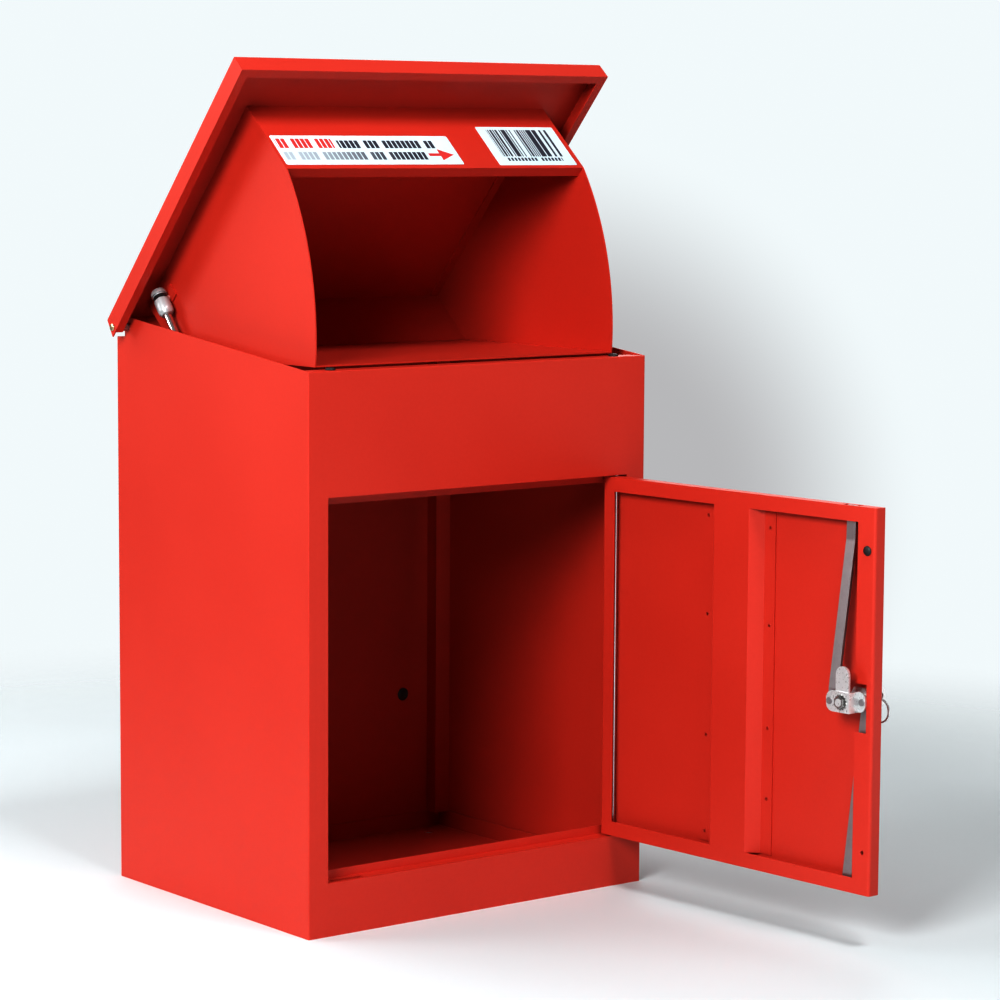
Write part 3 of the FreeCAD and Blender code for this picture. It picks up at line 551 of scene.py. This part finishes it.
def weld_mark():
    """One spot weld: a low disc with a dished middle."""
    cylinder = bpy.ops.mesh.primitive_cylinder_add
    mark = started("weld_mark", cylinder, vertices=WELD_SIDES, radius=WELD_RADIUS, depth=WELD_RISE)
    choose(mark, "FACE", lambda face: face.normal.z > FACES_THAT_WAY)
    bpy.ops.mesh.bevel(offset=WELD_EDGE, segments=2, affect="EDGES")
    leave_edit()
    level = max(face.center.z for face in mark.data.polygons) - SAME_LEVEL
    choose(mark, "FACE", lambda face: face.normal.z > FACES_THAT_WAY and face.center.z > level)
    bpy.ops.mesh.inset(thickness=WELD_RIM)
    bpy.ops.transform.translate(value=(0, 0, -WELD_DISH))
    leave_edit()
    return mark


def spot_welds(coat):
    """The marks of the welds that hold the stiffener's flanges."""
    hinge_level = JOINTS["door_hinge"]["pos_m"][2]
    places = [
        DOOR @ Matrix.Translation((across, FLANGE_FACE, height - hinge_level)) @ FACING_BACK
        for across, heights in WELD_ROWS for height in heights
    ]
    marks = repeated("door_spot_welds", weld_mark(), places)
    hand_over(marks, "door", coat)


# Rear lip of the lid

REAR_LIP_HALF = 0.2070
REAR_LIP_FACE = -0.0004
REAR_LIP_SHEET = 0.0013
REAR_LIP_TOP = 0.0080
REAR_LIP_FOOT = -0.0090
REAR_LIP_HEM = 0.0040
REAR_LIP_BEND = REAR_LIP_SHEET * 0.3


def lid_rear_lip(coat):
    """Folded lip that deepens the lid's rear edge, so that the slot over the back wall is closed."""
    lip = started("lid_rear_lip", bpy.ops.mesh.primitive_cube_add, size=1)
    lip.scale = (2 * REAR_LIP_HALF, REAR_LIP_SHEET, REAR_LIP_TOP - REAR_LIP_FOOT)
    lip.location = (0, REAR_LIP_FACE + REAR_LIP_SHEET / 2, (REAR_LIP_TOP + REAR_LIP_FOOT) / 2)
    bpy.ops.object.transform_apply(location=True, scale=True)
    fold = REAR_LIP_FOOT + REAR_LIP_SHEET
    edit_all()
    bpy.ops.mesh.bisect(plane_co=(0, 0, fold), plane_no=(0, 0, 1))
    leave_edit()
    choose(lip, "FACE", lambda face: face.normal.y < -FACES_THAT_WAY and face.center.z < fold)
    bpy.ops.mesh.extrude_region_move(TRANSFORM_OT_translate={"value": (0, -REAR_LIP_HEM, 0)})
    leave_edit()
    modified(lip, "BEVEL", width=REAR_LIP_BEND, segments=2)
    settle(lip, LID)
    hand_over(lip, "lid", coat)


# Rubber buttons, and black plugs that fill the open anchor holes as painted shade; a button's head has a low rim,
# and its dome stops short of a point

RUBBER_SIDES = 28
BUFFER_RISE = 0.0025
STOP_RISE = 0.0030
STEM_SHARE = 0.4
UNDERSIDE_SHARE = 0.94
RIM_SHARE = 0.25
DOME_TURN = math.radians(84)
DOME_STEPS = 5
PLUG_PROFILE = (
    (0.0046, 0.0002), (0.0047, 0.0017), (0.0070, 0.0017), (0.0074, 0.0022),
    (0.0068, 0.0030), (0.0050, 0.0036), (0.0046, 0.0034), (0.0020, 0.0034),
)


def rubber_button(name, radius, length, rise):
    """A button with a stem and a domed head."""
    seat = length - rise
    stem = radius * STEM_SHARE
    profile = [(stem, 0), (stem, seat), (radius * UNDERSIDE_SHARE, seat)]
    for step in range(DOME_STEPS):
        turn = DOME_TURN * step / (DOME_STEPS - 1)
        share = RIM_SHARE + (1 - RIM_SHARE) * math.sin(turn)
        profile.append((radius * math.cos(turn), seat + rise * share))
    return turned(name, RUBBER_SIDES, profile)


def door_buffer(rubber):
    """The door's buffer as a domed button."""
    low, high = own_box("door_buffer", DOOR)
    middle = (low + high) / 2
    button = rubber_button("door_buffer_button", (high.x - low.x) / 2, high.y - low.y, BUFFER_RISE)
    settle(button, DOOR @ Matrix.Translation((middle.x, low.y, middle.z)) @ FACING_BACK)
    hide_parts("door_buffer")
    hand_over(button, "door", rubber)


def lid_stops(rubber):
    """The lid's two stops as domed buttons."""
    low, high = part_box("lid_stops")
    radius = (high[1] - low[1]) / 2
    middle = (low[1] + high[1]) / 2
    button = rubber_button("lid_stop", radius, high[2] - low[2], STOP_RISE)
    places = [Matrix.Translation((x, middle, low[2])) for x in (low[0] + radius, high[0] - radius)]
    buttons = repeated("lid_stop_buttons", button, places)
    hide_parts("lid_stops")
    hand_over(buttons, "cabinet", rubber)


def wall_hole_shade_plugs(rubber):
    """Black rubber plugs in the wall anchor holes, pushed in from inside: painted shade where the open holes would
    show the shadow behind the box.
    """
    anchors = next(mount for mount in frame["record"]["mounts"] if mount["name"] == "wall_anchors")
    centre = Vector(anchors["pos_m"])
    half_mm_to_m = 0.5 / 1000
    across = anchors["dims"]["spacing_x_mm"] * half_mm_to_m
    up = anchors["dims"]["spacing_y_mm"] * half_mm_to_m
    places = [
        Matrix.Translation(centre + Vector((x, 0, z))) @ FACING_FRONT
        for x in (-across, across) for z in (-up, up)
    ]
    plugs = repeated("wall_hole_shade_plugs", turned("wall_shade_plug", RUBBER_SIDES, PLUG_PROFILE), places)
    hand_over(plugs, "cabinet", rubber)


# Hinge screws: the dome's steps are shares of the head's radius and height

SCREW_SIDES = 28
SCREW_HEAD = 0.0016
SCREW_RADIUS = 0.0025
SCREW_DOME = ((0.97, 0), (1, 0.3), (0.9, 0.7), (0.6, 1), (0.2, 1))
RECESS_WIDTH = 0.0009
PIN_NUT_HEIGHT = 0.0040


def cross_recess(screw, top):
    """Cut a cross into the top of a screw head."""
    for angle in (0, 90):
        cutter = started("recess_cutter", bpy.ops.mesh.primitive_cube_add, size=1, location=(0, 0, top))
        cutter.scale = (RECESS_WIDTH, 2 * SCREW_RADIUS, SCREW_HEAD)
        cutter.rotation_euler.z = math.radians(angle)
        modified(screw, "BOOLEAN", operation="DIFFERENCE", object=cutter)
        bpy.data.objects.remove(cutter)


def lid_hinge_screws(metal):
    """The lid's two hinge screws: smooth shanks with domed heads."""
    low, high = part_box("lid_hinge_pins")
    nut_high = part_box("lid_hinge_nuts")[1]
    radius = (high[1] - low[1]) / 2
    seat = high[0] - SCREW_HEAD
    shank = [(SCREW_RADIUS, nut_high[0] - PIN_NUT_HEIGHT), (SCREW_RADIUS, seat)]
    head = [(radius * share, seat + SCREW_HEAD * rise) for share, rise in SCREW_DOME]
    screw = turned("hinge_screw", SCREW_SIDES, shank + head)
    cross_recess(screw, high[0])
    axis = Matrix.Translation(JOINTS["lid_hinge"]["pos_m"])
    sides = [Matrix.Rotation(math.radians(angle), 4, "Y") for angle in (90, -90)]
    screws = repeated("lid_hinge_screws", screw, [axis @ side for side in sides])
    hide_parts("lid_hinge_pins")
    hand_over(screws, "cabinet", metal)


# Cam nut and its toothed washer: the nut's steps are shares of its radius and height

HEXAGON = 6
NUT_TOP = ((1, 0.72), (0.88, 0.9))
NUT_HOLE = 0.0043
NUT_RIM = 0.9
AXLE_RADIUS = NUT_HOLE * 0.95
AXLE_END = 0.5
WASHER_TEETH = 14
WASHER_RADIUS = 0.0084
WASHER_THICK = 0.0008
TOOTH_ROOT = 0.84


def tooth_washer():
    """A washer whose every other edge point is drawn in."""
    edge = ((WASHER_RADIUS, 0), (WASHER_RADIUS, WASHER_THICK))
    washer = turned("tooth_washer", 2 * WASHER_TEETH, edge)

    def at_root(point):
        turn = math.atan2(point.co.y, point.co.x) / math.pi * WASHER_TEETH
        return round(turn) % 2 == 0

    choose(washer, "VERT", at_root)
    bpy.ops.transform.resize(value=(TOOTH_ROOT, TOOTH_ROOT, 1))
    leave_edit()
    return washer


def cam_lock_nut(metal):
    """Hexagon nut on a toothed washer, with the axle's end standing in it."""
    low, high = own_box("cam_nut", LOCK)
    middle = (low + high) / 2
    corner = (high.x - low.x) / 2
    height = high.y - low.y
    profile = [(corner, WASHER_THICK)]
    profile += [(corner * share, height * rise) for share, rise in NUT_TOP]
    profile += [(NUT_HOLE, height * NUT_RIM), (AXLE_RADIUS, height * AXLE_END)]
    nut = turned("cam_hex_nut", HEXAGON, profile)
    both = joined("cam_lock_nut", [nut, tooth_washer()])
    settle(both, LOCK @ Matrix.Translation((middle.x, low.y, middle.z)) @ FACING_BACK)
    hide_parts("cam_nut")
    hand_over(both, "lock", metal)


# Strut socket: steps are a share of its radius and a height from its foot or from its top

STRUT_SIDES = 36
SOCKET_FOOT = ((0.60, 0), (0.74, 0), (0.97, 0.0032), (1, 0.0045))
SOCKET_TOP = ((1, -0.0028), (0.80, 0), (0.48, 0), (0.44, -0.001))
GROOVE_LOW = -0.0036
GROOVE_HIGH = 0.0030
GROOVE_FLOOR = 0.80
GROOVE_LIMIT = 0.85
BRIDGE_SIDE = Vector((-0.80, -0.60, 0))
BRIDGE_SPREAD = 0.93
BRIDGE_RISE = 0.18
CLIP_INSIDE = 0.82
CLIP_OUTSIDE = 0.88
CLIP_GAP = 0.0012
CLIP_SHOULDER = 0.0016


def strut_socket(metal, paint):
    """Ball socket with a tapered foot and a grooved head, bridged on the outer side, and its clip ring, whose
    black is painted shade in the groove.
    """
    low, high = own_box("strut_socket", STRUT)
    radius = (high.x - low.x) / 2
    groove = radius * GROOVE_FLOOR
    profile = [(radius * share, low.z + rise) for share, rise in SOCKET_FOOT]
    profile += [(radius, GROOVE_LOW), (groove, GROOVE_LOW), (groove, GROOVE_HIGH), (radius, GROOVE_HIGH)]
    profile += [(radius * share, high.z + rise) for share, rise in SOCKET_TOP]
    socket = turned("strut_ball_socket", STRUT_SIDES, profile)
    outward = STRUT.to_3x3().inverted() @ BRIDGE_SIDE
    choose(socket, "FACE", lambda face: (
        GROOVE_LOW < face.center.z < GROOVE_HIGH and face.normal.dot(outward) > BRIDGE_SPREAD
        and Vector(face.center[:2]).length < radius * GROOVE_LIMIT
    ))
    bpy.ops.mesh.extrude_region_shrink_fatten(TRANSFORM_OT_shrink_fatten={"value": radius * BRIDGE_RISE})
    leave_edit()
    settle(socket, STRUT)
    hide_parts("strut_socket")
    hand_over(socket, "strut_upper", metal)
    # Clip ring in the groove; its black finish is painted shade where the groove lies in shadow
    clip = turned("strut_socket_clip_shade", STRUT_SIDES, (
        (radius * CLIP_INSIDE, GROOVE_LOW + CLIP_GAP), (radius * CLIP_OUTSIDE, GROOVE_LOW + CLIP_SHOULDER),
        (radius * CLIP_OUTSIDE, GROOVE_HIGH - CLIP_SHOULDER), (radius * CLIP_INSIDE, GROOVE_HIGH - CLIP_GAP),
    ))
    settle(clip, STRUT)
    hand_over(clip, "strut_upper", paint)


# Camera: its place, its axes to the right, up and back, and its lens in millimetres

CAMERA_PLACE = (-2.0537, -2.8099, 0.8124)
CAMERA_AXES = ((0.7853, -0.6192, 0.0059), (0.0653, 0.0923, 0.9937), (-0.6157, -0.7799, 0.1129))
CAMERA_LENS = 116.63
CAMERA_SENSOR = 36

# Floor and backdrop; the backdrop's painted shadow has its place in units of the camera's axes, its edge in
# radians

FLOOR_SIZE = 12
FLOOR_PALE = ((0.575, 0.618, 0.632, 1), (0.594, 0.637, 0.651, 1))
FLOOR_FADE = (0.8, 1.7)
BACKDROP_SHADE = (-1, 0.01235, -0.00617)
BACKDROP_EDGE = (0.055, 0.120)
BACKDROP_WHITE = (0.923, 0.966, 0.979, 1)
BACKDROP_SHADOW_GREY = (0.615, 0.615, 0.625, 1)
BACKDROP_GLOW = 0.015
BACKDROP_MIRRORED = 0.32
VIEW_GAMMA = 0.65


def camera():
    """The photograph's camera."""
    eye = bpy.data.objects.new("camera", bpy.data.cameras.new("camera"))
    bpy.context.collection.objects.link(eye)
    eye.data.sensor_width = CAMERA_SENSOR
    eye.data.lens = CAMERA_LENS
    facing = Matrix(CAMERA_AXES).transposed().to_4x4()
    eye.matrix_world = Matrix.Translation(CAMERA_PLACE) @ facing
    bpy.context.scene.camera = eye


def soft_box(name, place, aim, size, power):
    """A lamp with a wide soft face that the camera doesn't see."""
    data = bpy.data.lights.new(name, "AREA")
    data.shape = "RECTANGLE"
    data.size, data.size_y = size
    data.energy = power
    lamp = bpy.data.objects.new(name, data)
    bpy.context.collection.objects.link(lamp)
    lamp.visible_camera = False
    lamp.location = place
    lamp.rotation_euler = (Vector(aim) - Vector(place)).to_track_quat("-Z", "Y").to_euler()


def floor():
    """Pale studio floor that melts into the background away from the box."""
    ground = started("studio_floor", bpy.ops.mesh.primitive_plane_add, size=FLOOR_SIZE)
    finish = Finish("pale_floor")
    distance = finish.node("ShaderNodeVectorMath", {"operation": "LENGTH"}, {0: finish.place()}, "Value")
    mottle = finish.noise(finish.place(), scale=3)
    finish.surface({
        "Base Color": finish.blend(mottle, *FLOOR_PALE),
        "Roughness": 0.6,
        "Specular IOR Level": 0.2,
    })
    clear = finish.node("ShaderNodeBsdfTransparent", {}, {})
    painted = Signal(finish, finish.tree.nodes["Principled BSDF"].outputs[0])
    fade = finish.ramp(distance, *FLOOR_FADE)
    faded = finish.node("ShaderNodeMixShader", {}, {0: fade, 1: painted, 2: clear})
    finish.fill(finish.tree.nodes["Material Output"], {"Surface": faded})
    ground.data.materials.append(finish.material)


def backdrop():
    """White studio all round with a painted soft shadow behind the box: bright to look at, dim as light."""
    world = bpy.data.worlds.new("studio")
    bpy.context.scene.world = world
    world.use_nodes = True
    wires = Wiring(world.node_tree)
    right, above, back = (Vector(axis) for axis in CAMERA_AXES)
    toward = (back * BACKDROP_SHADE[0] + right * BACKDROP_SHADE[1] + above * BACKDROP_SHADE[2]).normalized()
    seen = wires.node("ShaderNodeTexCoord", {}, {}, "Generated")
    apart = wires.node("ShaderNodeVectorMath", {"operation": "DISTANCE"}, {0: seen, 1: toward}, "Value")
    # Painted shadow: the backdrop turns grey in the direction just behind the box
    colour = wires.blend(wires.ramp(apart, *BACKDROP_EDGE), BACKDROP_SHADOW_GREY, BACKDROP_WHITE)
    shown = wires.node("ShaderNodeBackground", {}, {"Color": colour})
    mirrored = wires.node("ShaderNodeLightPath", {}, {}, "Is Glossy Ray")
    glow = {"Color": (1, 1, 1, 1), "Strength": BACKDROP_GLOW + mirrored * BACKDROP_MIRRORED}
    light = wires.node("ShaderNodeBackground", {}, glow)
    looked_at = wires.node("ShaderNodeLightPath", {}, {}, "Is Camera Ray")
    both = wires.node("ShaderNodeMixShader", {}, {0: looked_at, 1: light, 2: shown})
    wires.fill(world.node_tree.nodes["World Output"], {"Surface": both})


def studio():
    """Camera, backdrop, floor, lamps and how the picture is developed."""
    camera()
    backdrop()
    floor()
    soft_box("key", (-2.40, -1.38, 1.62), aim=(0, -0.1, 0.35), size=(1.1, 1.1), power=110)
    soft_box("top_front", (-0.10, -1.75, 2.90), aim=(0, -0.1, 0.4), size=(0.9, 0.7), power=61)
    soft_box("front_glow", (0.35, -1.45, 0.20), aim=(0.30, -1.13, 1.2), size=(2.2, 1.2), power=10)
    soft_box("right_top", (1.9, -1.3, 2.2), aim=(0.7, -0.5, 0), size=(1.4, 1.4), power=4)
    soft_box("overhead", (-0.8, 1.5, 3.0), aim=(-0.5, 0.6, 0), size=(3.2, 2.2), power=64)
    soft_box("left_rear", (-2.3, 1.5, 1.2), aim=(-0.2, 0, 0.35), size=(1.2, 1.2), power=28)
    soft_box("rear_fill", (-0.6, 2.0, 1.5), aim=(-0.1, 0.6, 0), size=(1.2, 0.9), power=9)
    soft_box("right_rear", (2.2, 2.0, 1.9), aim=(0, 0, 0.4), size=(1.4, 1.2), power=22)
    colours = bpy.context.scene.view_settings
    colours.view_transform = "Standard"
    colours.gamma = VIEW_GAMMA


finishes = dress_frame()
red = finishes["red_powder_coat"]
rubber = finishes["black_rubber"]
notice_label()
striped_label()
spot_welds(red)
lid_rear_lip(red)
door_buffer(rubber)
lid_stops(rubber)
wall_hole_shade_plugs(rubber)
lid_hinge_screws(zinc_plate("warm_zinc"))
cam_lock_nut(zinc_plate("dark_zinc"))
strut_socket(zinc_plate("cast_zinc"), finishes["black_painted_steel"])
studio()
